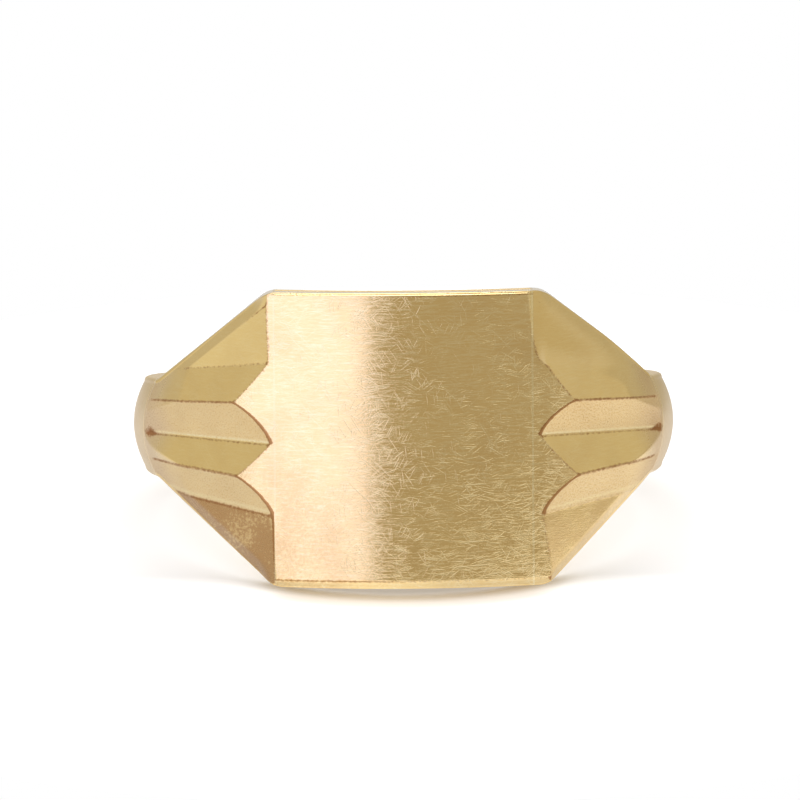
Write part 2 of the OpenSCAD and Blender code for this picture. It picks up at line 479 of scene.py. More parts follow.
def outside_columns(m, turn, side, low_end, high_end, cell, share):
    """Heights of the grid's columns: they follow every line of the shoulder, so no edge crosses a face."""
    gap = 0.03 * MM
    lines = cut_lines(m, turn, side)
    high = [high_end]
    for line in (bevel_line(m, turn, side, 1), lines[4], lines[3]):
        high.append(np.minimum(line, high[-1] - gap))
    low = [low_end]
    for line in (-bevel_line(m, turn, side, -1), lines[0], lines[1]):
        low.append(np.maximum(line, low[-1] + gap))
    return spread(np.stack(low + [lines[2]] + high[::-1]), cell, share)


def closed_section(m, strip, reach, edge_round, bore_round, inner, side, pocket=None):
    """Closes an outside strip into whole sections: rounded outer edges, sides, rounded inner edges, inside.

    strip is the outside's rho, turn and z. reach(rho, sign) gives each row's turn at a distance from the axis,
    on the upper or the lower side, because the end planes aren't radial. inner is the inside's radius. side is
    the shoulder's, or one side for each row. A pocket, given as a radius and half a height, is a recess in the
    inside.
    """
    rows = strip[0].shape[0]

    def side_point(rho, sign):
        turn = reach(rho, sign)
        return [rho, turn, sign * half_width(m, np.abs(turn), rho, side, sign)]

    def side_strips(sign, last):
        edge = [last[0], last[1], sign * half_width(m, np.abs(last[1]), last[0], side, sign)]
        top = side_point(last[0] - edge_round, sign)
        wall = side_point(top[0] + (inner + bore_round - top[0]) * eased(8)[None, :], sign)
        bore = side_point(np.full((rows, 1), inner), sign)
        bore_in = [bore[0], bore[1], bore[2] - sign * bore_round]
        foot = [part[:, -1:] for part in wall]
        return [rounded_corner(last, edge, top), wall, rounded_corner(foot, bore, bore_in)], bore_in

    def level(rho, z):
        rho, z = np.full((rows, 1), rho), np.full((rows, 1), z)
        return [rho, reach(rho, 1), z]

    upper, bore_high = side_strips(1, [part[:, -1:] for part in strip])
    lower, bore_low = side_strips(-1, [part[:, :1] for part in strip])
    stops = [bore_high, bore_low]
    if pocket:
        depth, z = pocket
        stops[1:1] = [level(inner, z), level(depth, z), level(depth, -z), level(inner, -z)]
    inside = [stops[0]]
    for first, last in zip(stops, stops[1:]):
        t = np.linspace(0, 1, 13)[None, 1:]
        inside.append([a + (b - a) * t for a, b in zip(first, last)])
    back = [[part[:, ::-1] for part in piece] for piece in lower[::-1]]
    return joined([strip, *upper, *inside, *back])


# ---------------------------------------------------------------------------------------------
# Marks on the metal
# ---------------------------------------------------------------------------------------------

# Turns over which the dull band beside the shank fades in and the marks along the cuts fade out.
BAND_FROM, BAND_TO = radians(58), radians(70)
MARKS_FROM, MARKS_TO = radians(67), radians(71)
# Turn at which dirt has settled in the end of the valley.
PIT_TURN = radians(69.3)


def near(distance, width):
    """1 on a line, falling away over the given width on both sides."""
    return np.exp(-(distance / width) ** 2)


def soft_lines(*lines):
    """Soft lines added up: each has a strength, the distance from it, and a width in millimetres."""
    return sum(strength * near(distance, width * MM) for strength, distance, width in lines)


def face_masks(m, rho, turn, z):
    """Marks on the face, for points given by their signed turn: blush, dark lines beside its bevels that are
    partly polishing grime and partly a painted dark reflection, scratches.
    """
    x = rho * np.sin(turn)
    top = rise(rho, m.face_r - 0.5 * MM, m.face_r - 0.35 * MM)
    blush = rise(-x, -0.5 * MM, 4.5 * MM) * rise(-z, -2.0 * MM, 5.0 * MM)
    # Dark lines beside the lower and upper bevels: partly polishing grime, partly a painted dark reflection of
    # the bevels' rounded edges.
    dirt = soft_lines(
        (0.7 - 0.3 * rise(x, -2 * MM, 2 * MM), z + m.head_z - m.low_bevel - 0.03 * MM, 0.05),
        (0.6 * rise(x, -3 * MM, 1 * MM), z - m.head_z + m.high_bevel + 0.03 * MM, 0.03),
    )
    rubbed = 0.85 + 0.12 * rise(x, 2 * MM, 5 * MM)
    return {"blush": 0.6 * top * blush, "dirt": top * dirt, "rubbed": top * rubbed}


def region_masks(m, rho, turn, z, side):
    """What each point of the shoulder's outside is.

    satin marks the ribs' lower sides, blush a warm brown tint on the face's lower left and below the shoulder's
    lowest rib, dirt the polishing grime along the cut lines and the painted shade where the face meets the
    ribs' lower sides, gleam the bright lines along the valley and the low foot, partly rubbed metal and partly
    a painted highlight, rubbed how scratched the metal is, and band the dull end beside the shank. The left
    side is the browner one.
    """
    hand = HANDS[side]
    left = 1.0 if side < 0 else 0.0
    marks = face_masks(m, rho, side * turn, z)
    low_foot, low_crest, valley, high_crest, high_foot = cut_lines(m, turn, side)
    past = m.face_r * (turn - face_edge(m, z, side))
    cut = rise(past, -0.02 * MM, 0.05 * MM)
    band = rise(turn, BAND_FROM, BAND_TO)
    open_cut = cut * (1 - rise(turn, MARKS_FROM, MARKS_TO))

    def above(line):
        return rise(z, line - 0.05 * MM, line + 0.05 * MM)

    upper = above(valley) * (1 - above(high_crest))
    lower = above(low_foot) * (1 - above(low_crest))
    under = 1 - above(low_foot)

    run = rise(place_on_flat(m, turn) - m.notch_s, 0.3 * MM, 3.0 * MM)
    cut_dirt = soft_lines(
        (0.66, z - high_crest, 0.07),
        (0.62, z - low_crest, 0.09),
        (0.35 + 0.3 * left, z - low_foot + 0.02 * MM, 0.09),
        (0.4 - 0.3 * hand.soft, z - high_foot, 0.07),
        ((0.55 - 0.25 * hand.soft) * (1 - 0.7 * run), z - bevel_line(m, turn, side, 1), 0.06),
        (0.5, z - valley + 0.06 * MM, 0.06),
    )
    lowest_edge = rise(-z, 2.6 * MM, 3.0 * MM) * rise(z, -5.4 * MM, -5.0 * MM)
    # Dark line where the face meets the cuts, and on the left's lowest edge: polishing grime, with painted
    # shade added where the face meets the ribs' downward-facing lower sides.
    edge_dirt_and_shade = soft_lines(
        (0.45 + 0.65 * (upper + lower), past + 0.02 * MM, 0.11),
        (left * lowest_edge, past, 0.09),
    )
    pit = 0.8 * near(z - valley, 0.22 * MM) * near(turn - PIT_TURN, 0.035)
    # Bright lines along the valley and above the low foot: partly rubbed metal, partly a painted highlight.
    gleam = soft_lines((1.0, z - valley - 0.05 * MM, 0.045), (0.6, z - low_foot - 0.16 * MM, 0.06))
    # Browner below the lowest rib, much more on the left, and a little on the right's dull band.
    brown_tint = under * (0.35 + 1.5 * left) * (1 - band) + 0.35 * (1 - left) * band
    return {
        "satin": cut * np.clip((upper + lower) * (1.45 - 0.45 * left) + 0.15 * under + band, 0, 1.5),
        "blush": (1 - cut) * marks["blush"] + cut * brown_tint,
        "dirt": np.clip((1 - cut) * marks["dirt"] + open_cut * cut_dirt + edge_dirt_and_shade + pit, 0, 1),
        "gleam": open_cut * gleam,
        "rubbed": (1 - cut) * marks["rubbed"] + 0.3 * cut,
        "band": band * (0.5 + 0.5 * left),
    }


def padded_masks(masks, columns):
    """The masks of an outside strip, with zeros for the rest of each section."""
    return {name: np.pad(mask, ((0, 0), (0, columns - mask.shape[1]))) for name, mask in masks.items()}


# ---------------------------------------------------------------------------------------------
# Pieces
# ---------------------------------------------------------------------------------------------

def shoulder_piece(m, side):
    """One shoulder: face as far as the teeth's edge, then the cut ribs and flats, down to the shank joint.

    Rows run from the face joint to the teeth's edge, where along is 1, and from there to the shank joint, where
    it is 2. Columns follow the cut lines. The place of each point depends on the others, so the grid is
    corrected a few times over.
    """
    cell, share = chained(SHOULDER_COLUMNS)
    on_face = eased(30)
    on_cuts = np.linspace(0, 1, 131)[1:] ** 1.15
    along = np.concatenate([on_face, 1 + on_cuts])[:, None] + np.zeros((1, cell.size))
    edge_round = HEAD_ROUND + (SHANK_ROUND - HEAD_ROUND) * rise(along[:, :1], 1.2, 2.0)

    def between(start, edge, end, place):
        return np.where(place <= 1, start + (edge - start) * place, edge + (end - edge) * (place - 1))

    rho = np.full(along.shape, m.face_r)
    turn = between(np.arcsin(m.joint_x / rho), radians(30), m.joint_turn, along)
    for _ in range(10):
        high_end = half_width(m, turn, rho, side, 1) - edge_round
        low_end = edge_round - half_width(m, turn, rho, side, -1)
        z = outside_columns(m, turn, side, low_end, high_end, cell, share)
        start = np.arcsin(m.joint_x / rho)
        edge = np.maximum(face_edge(m, z, side), start + 0.03 * MM / m.face_r)
        turn = between(start, edge, m.joint_turn - np.arcsin(m.film / 2 / rho), along)
        rho = outside(m, turn, z, side)

    def reach(rho_here, sign):
        start_here = np.arcsin(m.joint_x / rho_here)
        edge_here = np.maximum(edge[:, -1:] if sign > 0 else edge[:, :1], start_here + 0.001)
        return between(start_here, edge_here, m.joint_turn - np.arcsin(m.film / 2 / rho_here), along[:, :1])

    whole = closed_section(m, [rho, turn, z], reach, edge_round, BORE_ROUND, m.finger_r, side)
    masks = padded_masks(region_masks(m, rho, turn, z, side), whole[0].shape[1])
    node = "left_shoulder" if side < 0 else "right_shoulder"
    return swept_mesh(node + "_fluted", *whole, side=side, masks=masks), node


def across_section(m, x, z_of, inner, pocket=None):
    """A solid between two planes across the ring's front: its outside is the ring's own, at each row's x.

    z_of(turn, low, high) gives the heights of the columns between the two ends of each row.
    """
    x = x[:, None]
    rho = np.full((x.size, 1), m.face_r)
    side = np.where(x < 0, -1, 1)
    for _ in range(5):
        turn = np.arcsin(x / rho)
        high = half_width(m, np.abs(turn[:, -1:]), rho[:, -1:], side, 1) - HEAD_ROUND
        low = HEAD_ROUND - half_width(m, np.abs(turn[:, :1]), rho[:, :1], side, -1)
        z = z_of(turn, low, high)
        left, right = outside(m, -turn, z, -1), outside(m, turn, z, 1)
        rho = np.where(turn < 0, left, right)
    strip = [rho, turn + 0 * z, z + 0 * turn]

    def reach(rho_here, sign):
        return np.arcsin(x / rho_here)

    return closed_section(m, strip, reach, HEAD_ROUND, INNER_ROUND, inner, side, pocket)


def plate_piece(m):
    """The face plate: its rows run across the face and its columns along the finger."""
    cell, share = chained([14, 150, 12])

    def heights(turn, low, high):
        knots = [low, low + 0.35 * MM, high - 0.2 * MM, high]
        return spread(np.stack([np.broadcast_to(k, (turn.shape[0], cell.size)) for k in knots]), cell, share)

    x = np.linspace(-1, 1, 181) * m.plate_x
    whole = across_section(m, x, heights, m.plate_r)
    return swept_mesh("signet_face_plate_worn", *whole, masks=face_masks(m, *whole))


def face_solder_piece(m, side):
    """The solder between the face plate, with its walls, and one shoulder: it wraps round the hollow."""
    cell, share = chained(SHOULDER_COLUMNS)
    x = side * np.linspace(m.plate_x, m.joint_x, 4)

    def heights(turn, low, high):
        turn = np.abs(turn) + np.zeros((1, cell.size))
        return outside_columns(m, turn, side, low + 0 * turn, high + 0 * turn, cell, share)

    rho, turn, z = across_section(m, x, heights, m.finger_r, pocket=(m.plate_r, m.wall_z))
    node = "left_face_solder" if side < 0 else "right_face_solder"
    masks = face_masks(m, rho, turn, z)
    # Painted highlight: the right seam is painted much brighter than the left, partly rubbed metal.
    masks["gleam"] = (0.65 if side > 0 else 0.12) * np.clip(2 * masks["rubbed"], 0, 1)
    return swept_mesh(node + "_seam", rho, side * turn, z, side=side, masks=masks), node


def rounded_box(low, high, radius):
    """Section points, in rho and z, of a rectangle with rounded corners, in swept_mesh's order."""
    corners = [(high[0], low[1]), (high[0], high[1]), (low[0], high[1]), (low[0], low[1])]
    points = []
    for i, here in enumerate(corners):
        here, before, after = np.array(here), np.array(corners[i - 1]), np.array(corners[(i + 1) % 4])
        first = here + radius * (before - here) / np.linalg.norm(before - here)
        last = here + radius * (after - here) / np.linalg.norm(after - here)
        t = np.linspace(0, 1, 6)[:, None]
        points.append(first * (1 - t) ** 2 + 2 * here * t * (1 - t) + last * t ** 2)
    points = np.concatenate(points)
    return points[:, 0], points[:, 1]


def bar_piece(m, name, rho_range, z_range, radius):
    """A curved bar across the front with a rounded rectangular section, between the two face joints."""
    rho, z = rounded_box((rho_range[0], z_range[0]), (rho_range[1], z_range[1]), radius)
    x = np.linspace(-1, 1, 121)[:, None] * m.plate_x
    rho = rho[None, :] + 0 * x
    return swept_mesh(name, rho, np.arcsin(x / rho), z[None, :] + 0 * x)


def band_section(m, turn_of, rows):
    """Whole sections of the domed shank: turn_of(rho) gives each row's turn at a distance from the axis."""
    across = eased(SHANK_COLUMNS, 0.3)[None, :] * 2 - 1
    rho = np.full((rows, 1), m.back_r)
    for _ in range(4):
        turn = turn_of(rho)
        middle = shank_outside(m, turn)
        width = half_width(m, turn, middle, 1, 1)
        z = across * (width - SHANK_ROUND)
        rho = middle - m.dome * (z / width) ** 2
    return closed_section(m, [rho, turn_of(rho), z], lambda rho_here, sign: turn_of(rho_here), SHANK_ROUND,
                          BORE_ROUND, m.finger_r, 1)


def shank_piece(m):
    """The shank, from one shoulder joint round the back to the other."""
    rows = 261
    place = np.linspace(0, 1, rows)[:, None]

    def turn_of(rho):
        first = m.joint_turn + np.arcsin(m.film / 2 / rho)
        return first + (2 * pi - 2 * first) * place

    return swept_mesh("shank_worn", *band_section(m, turn_of, rows))


def shank_solder_piece(m, side):
    """The film of solder between a shoulder and the shank."""
    rows = 4
    place = np.linspace(-0.5, 0.5, rows)[:, None]

    def turn_of(rho):
        return m.joint_turn + np.arcsin(m.film * place / rho)

    node = "left_shank_solder" if side < 0 else "right_shank_solder"
    return swept_mesh(node + "_seam", *band_section(m, turn_of, rows), side=side), node


# ---------------------------------------------------------------------------------------------
# Shader nodes
# ---------------------------------------------------------------------------------------------

class Nodes:
    """Adds shader nodes to a tree in a few words. A socket or a plain value may feed any input."""

    def __init__(self, tree):
        self.tree = tree

    def add(self, kind, inputs=None, **settings):
        """A node of that kind with its settings, and its inputs linked or set by name or number."""
        node = self.tree.nodes.new(kind)
        for name, value in settings.items():
            setattr(node, name, value)
        for name, value in (inputs or {}).items():
            self.feed(node.inputs[name], value)
        return node

    def feed(self, socket, value):
        """Links another node's output to an input, or sets the input's own value."""
        if isinstance(value, bpy.types.NodeSocket):
            self.tree.links.new(value, socket)
        else:
            socket.default_value = value

    def math(self, operation, *values, clamp=False):
        """The result of one sum."""
        node = self.add("ShaderNodeMath", dict(enumerate(values)), operation=operation, use_clamp=clamp)
        return node.outputs[0]

    def step(self, value, low, high):
        """A smooth step from 0 at low to 1 at high."""
        node = self.add("ShaderNodeMapRange", {"Value": value, "From Min": low, "From Max": high},
                        interpolation_type="SMOOTHSTEP")
        return node.outputs["Result"]

    def window(self, value, low, high, soft):
        """1 between low and high, with soft edges."""
        return self.math("MULTIPLY", self.step(value, low - soft, low + soft),
                         self.step(value, high + soft, high - soft))

    def mix(self, share, a, b):
        """A colour share of the way from a to b."""
        a, b = [(*v, 1) if isinstance(v, tuple) else v for v in (a, b)]
        node = self.add("ShaderNodeMix", data_type="RGBA")
        for socket, value in ((node.inputs[0], share), (node.inputs[6], a), (node.inputs[7], b)):
            self.feed(socket, value)
        return node.outputs[2]


# ---------------------------------------------------------------------------------------------
# Metals
# ---------------------------------------------------------------------------------------------

# Layers of fine scratches: direction in degrees, length and width in mm, and the share of cells that hold one.
SCRATCHES = (
    (4, 1.2, 0.06, 0.36),
    (-9, 1.6, 0.065, 0.32),
    (14, 1.3, 0.06, 0.30),
    (-21, 0.9, 0.055, 0.36),
    (31, 1.4, 0.06, 0.26),
    (-38, 1.2, 0.06, 0.28),
    (57, 1.5, 0.06, 0.22),
    (-62, 1.1, 0.055, 0.24),
    (84, 1.0, 0.055, 0.20),
    (-3, 3.4, 0.085, 0.06),
    (43, 2.8, 0.075, 0.05),
)
# How far each layer's cells are moved from the layer's before, so that no two layers share a cell.
CELL_SHIFT = (31.7, 57.3)
# What the worn gold takes besides the place on the surface: its colours, and its numbers or masks.
TINTS = ("Metal", "Pale", "Bright", "Tarnish")
LEVELS = ("Polish", "Scratches", "Satin", "Blush", "Dirt", "Gleam", "Band")


def scratch_marks(n, surface):
    """Fine scratches: long thin cells, one direction to a layer, of which each layer keeps a share."""
    marks = 0.0
    for i, (turn, long, thin, share) in enumerate(SCRATCHES):
        turned = n.add("ShaderNodeVectorRotate", {"Vector": surface, "Angle": radians(turn)},
                       rotation_type="Z_AXIS").outputs[0]
        shift = (CELL_SHIFT[0] * i, CELL_SHIFT[1] * i, 0.0)
        stretched = n.add("ShaderNodeVectorMath", {0: turned, 1: (1 / long, 1 / thin, 1.0), 2: shift},
                          operation="MULTIPLY_ADD").outputs[0]
        cells = n.add("ShaderNodeTexVoronoi", {"Vector": stretched, "Scale": 1.0, "Randomness": 1.0},
                      voronoi_dimensions="2D")
        chance, strength, _ = n.add("ShaderNodeSeparateColor", {0: cells.outputs["Color"]}).outputs
        depth = n.math("MULTIPLY_ADD", strength, 0.9, 0.1)
        kept = n.math("MULTIPLY", n.math("LESS_THAN", chance, share), depth)
        mark = n.math("MULTIPLY", n.step(cells.outputs["Distance"], 0.34, 0.1), kept)
        marks = n.math("MAXIMUM", marks, mark)
    return marks


def worn_gold_group():
    """The shared node group for all of the ring's metal.

    Scratches are gathered in patches, over fine brushed marks; both are painted towards the bright gold, a
    painted sheen on real marks. Grain is a fine noise that shows where the metal is satin. Grime and painted
    shade eat in from the marked lines with a ragged edge. Height is in millimetres.
    """
    tree = bpy.data.node_groups.new("worn_gold", "ShaderNodeTree")
    takes = {"Surface": "NodeSocketVector", **dict.fromkeys(TINTS, "NodeSocketColor"),
             **dict.fromkeys(LEVELS, "NodeSocketFloat")}
    gives = {"Base Color": "NodeSocketColor", "Roughness": "NodeSocketFloat", "Height": "NodeSocketFloat"}
    for name, kind in takes.items():
        tree.interface.new_socket(name, in_out="INPUT", socket_type=kind)
    for name, kind in gives.items():
        tree.interface.new_socket(name, in_out="OUTPUT", socket_type=kind)
    n = Nodes(tree)
    given = n.add("NodeGroupInput").outputs
    surface = given["Surface"]

    def noise(scale, detail, roughness=0.5):
        return n.add("ShaderNodeTexNoise", {"Vector": surface, "Scale": scale, "Detail": detail,
                                            "Roughness": roughness}).outputs["Fac"]

    cloud = noise(0.45, 3.0)
    fine = noise(7.0, 3.0, 0.7)
    grain = noise(15.0, 2.0, 0.8)
    patches = n.step(noise(0.5, 3.0), 0.34, 0.62)
    along = n.add("ShaderNodeVectorMath", {0: surface, 1: (1.6, 12.5, 1.0)}, operation="MULTIPLY").outputs[0]
    brushed = n.add("ShaderNodeTexNoise", {"Vector": along, "Scale": 1.0, "Detail": 4.0, "Roughness": 0.7,
                                           "Distortion": 0.6}).outputs["Fac"]
    brushed = n.math("MULTIPLY", n.step(brushed, 0.42, 0.7), given["Scratches"], clamp=True)
    marks = n.math("MULTIPLY", scratch_marks(n, surface), n.math("MULTIPLY_ADD", patches, 0.55, 0.45))
    marks = n.math("MULTIPLY", marks, given["Scratches"], clamp=True)

    ragged = n.math("MULTIPLY_ADD", n.math("SUBTRACT", fine, 0.5), 1.1, given["Dirt"])
    dirt = n.math("MULTIPLY", n.step(ragged, 0.25, 0.75), 0.9)
    uneven = n.step(n.math("ADD", fine, cloud), 0.75, 1.2)
    brown_tint = n.math("MULTIPLY", given["Blush"], n.math("MULTIPLY_ADD", uneven, 0.6, 0.25), clamp=True)
    peaks = n.math("MULTIPLY", given["Satin"], n.step(grain, 0.4, 0.68))
    pits = n.math("MULTIPLY", given["Satin"], n.step(grain, 0.5, 0.3))

    # Painted sheen: brushed marks and scratches are painted towards the bright gold, over their real relief.
    tone = n.mix(n.math("MULTIPLY", brushed, 0.6), given["Metal"], given["Bright"])
    tone = n.mix(n.math("MULTIPLY", marks, 0.75), tone, given["Bright"])
    tone = n.mix(n.math("MULTIPLY", peaks, 0.4), tone, given["Pale"])
    tone = n.mix(n.math("MULTIPLY", given["Band"], 0.6), tone, given["Pale"])
    tone = n.mix(n.math("MULTIPLY", given["Band"], 0.22), tone, given["Tarnish"])
    tone = n.mix(n.math("MULTIPLY", pits, 0.3), tone, given["Tarnish"])
    tone = n.mix(n.math("MULTIPLY", n.step(cloud, 0.42, 0.7), 0.08), tone, given["Tarnish"])
    tone = n.mix(n.math("MULTIPLY", brown_tint, 0.72), tone, given["Tarnish"])
    # Painted highlight along the bright lines, partly rubbed metal.
    tone = n.mix(n.math("MULTIPLY", given["Gleam"], n.step(fine, 0.3, 0.55)), tone, given["Bright"])
    tone = n.mix(dirt, tone, given["Tarnish"])

    rough = n.math("MULTIPLY_ADD", given["Satin"], 0.24, given["Polish"])
    rough = n.math("MULTIPLY_ADD", marks, 0.16, rough)
    rough = n.math("MULTIPLY_ADD", given["Blush"], 0.05, rough)
    rough = n.math("MULTIPLY_ADD", n.math("SUBTRACT", cloud, 0.5), 0.08, rough)
    rough = n.math("MULTIPLY_ADD", dirt, 0.25, rough)

    grain_height = n.math("MULTIPLY_ADD", given["Satin"], 0.018, 0.0008)
    height = n.math("MULTIPLY", n.math("SUBTRACT", grain, 0.5), grain_height)
    height = n.math("MULTIPLY_ADD", marks, -0.0042, height)
    height = n.math("MULTIPLY_ADD", brushed, -0.0025, height)
    height = n.math("MULTIPLY_ADD", fine, 0.0006, height)
    height = n.math("MULTIPLY_ADD", dirt, -0.002, height)
    n.add("NodeGroupOutput", {"Base Color": tone, "Roughness": rough, "Height": height})
    return tree


def gold_metal(context, name, tint, polish, scratches, marks=(), satin=0.0, band=0.0):
    """One of the ring's metals. marks names the attributes that steer it; the rest are plain numbers."""
    colours = context.scene.signet_colours
    material = bpy.data.materials.new(name)
    material.use_nodes = True
    n = Nodes(material.node_tree)
    shader = material.node_tree.nodes["Principled BSDF"]
    surface = n.add("ShaderNodeUVMap", uv_map="Surface").outputs["UV"]

    def attribute(mark):
        return n.add("ShaderNodeAttribute", attribute_name=mark).outputs["Fac"]

    if "rubbed" in marks:
        scratches = n.math("MULTIPLY", attribute("rubbed"), scratches)
    group = n.add("ShaderNodeGroup", node_tree=bpy.data.node_groups.get("worn_gold") or worn_gold_group())
    values = {"Surface": surface, "Metal": (*tint, 1), "Pale": (*colours.pale, 1),
              "Bright": (*colours.bright, 1), "Tarnish": (*colours.tarnish, 1), "Polish": polish,
              "Scratches": scratches, "Satin": satin, "Blush": 0.0, "Dirt": 0.0, "Gleam": 0.0, "Band": band}
    values.update({mark.capitalize(): attribute(mark) for mark in marks if mark != "rubbed"})
    for socket, value in values.items():
        n.feed(group.inputs[socket], value)
    bump = n.add("ShaderNodeBump", {"Height": group.outputs["Height"], "Distance": MM, "Strength": 1.0})
    n.feed(shader.inputs["Base Color"], group.outputs["Base Color"])
    n.feed(shader.inputs["Roughness"], group.outputs["Roughness"])
    n.feed(shader.inputs["Normal"], bump.outputs["Normal"])
    shader.inputs["Metallic"].default_value = 1
    return material


# ---------------------------------------------------------------------------------------------
# Stage
# ---------------------------------------------------------------------------------------------

SKY = (0.72, 0.72, 0.72)
# Soft lights round the ring. Each has its middle and half its size, in degrees round the finger and above the
# ring's own horizon, how soft its edge is, and its light.
SOFTBOXES = (
    ((0, 0), (75, 60), 12, (0.46, 0.42, 0.33)),
    ((105, -4), (24, 16), 8, (0.57, 0.53, 0.40)),
    ((-105, -4), (24, 16), 8, (0.79, 0.78, 0.665)),
    ((115, 26), (22, 14), 8, (0.63, 0.60, 0.47)),
    ((-115, 26), (22, 14), 8, (0.65, 0.62, 0.49)),
    ((153, 17), (27, 12), 5, (0.54, 0.51, 0.39)),
    ((-153, 17), (27, 12), 5, (0.60, 0.57, 0.45)),
    ((-43, 0), (30, 36), 2, (1.33, 1.33, 1.78)),
    ((146, -6), (20, 14), 6, (0.52, 0.48, 0.34)),
)
# The light overhead, and the heights in degrees between which the sky turns into it.
CEILING = (3.0, 3.0, 3.0)
CEILING_FROM, CEILING_TO = 52.0, 66.0
# The light on the floor: its level from the sides, and how much more comes from behind and from above.
FLOOR_LIGHT = 0.74
FLOOR_LIGHT_SLOPE = 1.2


def studio_world():
    """A studio of soft lights, by direction. The camera itself sees plain white behind the ring.

    The floor is lit by a smooth sky that is brightest above and behind the ring, so the shadow falls forward.
    """
    world = bpy.data.worlds.new("studio")
    world.use_nodes = True
    n = Nodes(world.node_tree)
    way = n.add("ShaderNodeTexCoord").outputs["Generated"]
    x, y, z = n.add("ShaderNodeSeparateXYZ", {0: way}).outputs
    round_ring = n.math("DEGREES", n.math("ARCTAN2", x, n.math("MULTIPLY", y, -1.0)))
    above = n.math("DEGREES", n.math("ARCSINE", z))
    light = SKY
    for (middle, height), (half, tall), soft, tint in SOFTBOXES:
        inside = n.math("MULTIPLY", n.window(round_ring, middle - half, middle + half, soft),
                        n.window(above, height - tall, height + tall, soft))
        light = n.mix(inside, light, tint)
    light = n.mix(n.step(above, CEILING_FROM, CEILING_TO), light, CEILING)
    path = n.add("ShaderNodeLightPath").outputs
    from_above = n.math("MULTIPLY_ADD", z, FLOOR_LIGHT_SLOPE, FLOOR_LIGHT)
    ambient = n.math("MAXIMUM", n.math("MULTIPLY_ADD", y, FLOOR_LIGHT_SLOPE, from_above), 0.0)
    light = n.mix(path["Is Diffuse Ray"], light, ambient)
    light = n.mix(path["Is Camera Ray"], light, (1.0, 1.0, 1.0))
    n.feed(world.node_tree.nodes["Background"].inputs["Color"], light)
    return world


# The floor as the metal sees it, a painted light in its reflections: a darker colour, a glow, and how much more
# it glows to the right and in front. In front it glows less towards the right.
FLOOR_IN_METAL = (0.27, 0.27, 0.27)
GLOW = 0.47
GLOW_RIGHT = 0.25
GLOW_FRONT = 0.5
GLOW_FRONT_FALL = -0.35
# The floor as the camera sees it: its colour under the head, a painted shadow, how much it is lifted, and how
# much more in front, a painted light that ends the shadow there.
PAINTED_SHADOW_UNDER_HEAD = (0.45, 0.43, 0.40)
LIFT = 0.08
PAINTED_LIGHT_FRONT = 0.5


def floor_material(context):
    """The floor's matt white. The camera sees it a little lifted, and the metal sees it a little darker but
    glowing, a painted light in its reflections.

    A painted shadow deepens the shadow under the head, and a painted light ends it close in front of the face,
    in an arc round the finger.
    """
    material = bpy.data.materials.new("floor")
    material.use_nodes = True
    n = Nodes(material.node_tree)
    shader = material.node_tree.nodes["Principled BSDF"]
    white = tuple(context.scene.signet_colours.floor)
    path = n.add("ShaderNodeLightPath").outputs
    place = n.add("ShaderNodeTexCoord").outputs["Object"]
    x, y, _ = n.add("ShaderNodeSeparateXYZ", {0: place}).outputs
    out = n.math("SQRT", n.math("MULTIPLY_ADD", x, x, n.math("MULTIPLY", y, y)))

    # Painted light for the metal: the floor glows in its reflections, more to the right and in front of the
    # face.
    right = n.math("MULTIPLY", n.step(x, -2 * MM, 14 * MM), n.step(y, 6 * MM, -2 * MM))
    glow = n.math("MULTIPLY_ADD", right, GLOW_RIGHT, GLOW)
    front = n.math("MULTIPLY_ADD", n.step(x, -3 * MM, 3 * MM), GLOW_FRONT_FALL, GLOW_FRONT)
    glow = n.math("MULTIPLY_ADD", n.step(y, -9 * MM, -11.5 * MM), front, glow)

    # Painted shadow: the floor's colour is darker in a window under the head.
    head = n.math("MULTIPLY", n.window(x, -5 * MM, 5 * MM, 1 * MM), n.window(out, 8 * MM, 9.65 * MM, 0.4 * MM))
    head = n.math("MULTIPLY", head, n.step(y, -5 * MM, -7 * MM))
    tint = n.mix(head, white, PAINTED_SHADOW_UNDER_HEAD)
    # Painted light: the camera sees the floor lifted more in an arc in front of the face, so the shadow ends
    # there.
    before = n.math("MULTIPLY", n.step(out, 9.8 * MM, 10.8 * MM), n.step(y, -7 * MM, -9.5 * MM))
    lift = n.math("MULTIPLY", path["Is Camera Ray"], n.math("MULTIPLY_ADD", before, PAINTED_LIGHT_FRONT, LIFT))

    # The metal sees a darker floor colour that glows: painted light in its reflections.
    n.feed(shader.inputs["Base Color"], n.mix(path["Is Glossy Ray"], tint, FLOOR_IN_METAL))
    n.feed(shader.inputs["Emission Strength"], n.math("MULTIPLY_ADD", path["Is Glossy Ray"], glow, lift))
    shader.inputs["Emission Color"].default_value = (1, 1, 1, 1)
    shader.inputs["Roughness"].default_value = 1
    shader.inputs["Specular IOR Level"].default_value = 0
    return material


FLOOR_RADIUS = 34 * MM
FLOOR_SIDES = 96


def floor_piece(m):
    """The floor: a disc through the two lower corners inside the head and the lowest point at the back."""
    head_y = -sqrt(m.finger_r ** 2 - m.notch_x ** 2)
    tilt = atan((m.head_z - m.back_z) / (m.back_r - head_y))
    around = np.linspace(0, 2 * pi, FLOOR_SIDES + 1)[:-1]
    x = FLOOR_RADIUS * np.cos(around)
    y = FLOOR_RADIUS * np.sin(around) * cos(tilt)
    z = -m.back_z + (y - m.back_r) * tan(tilt)
    mesh = bpy.data.meshes.new("floor")
    mesh.from_pydata(np.stack([x, y, z], axis=1).tolist(), [], [list(range(FLOOR_SIDES))])
    floor = bpy.data.objects.new("floor", mesh)
    bpy.context.scene.collection.objects.link(floor)
    return floor


# The camera: its lens in mm, its distance, how far it looks down and how far it is rolled, and how far it is
# moved to the left and up.
CAMERA_LENS = 336.9
CAMERA_DISTANCE = 300 * MM
CAMERA_LIFT = radians(4)
CAMERA_ROLL = radians(0.4)
CAMERA_LEFT, CAMERA_UP = 0.14 * MM, 0.8 * MM


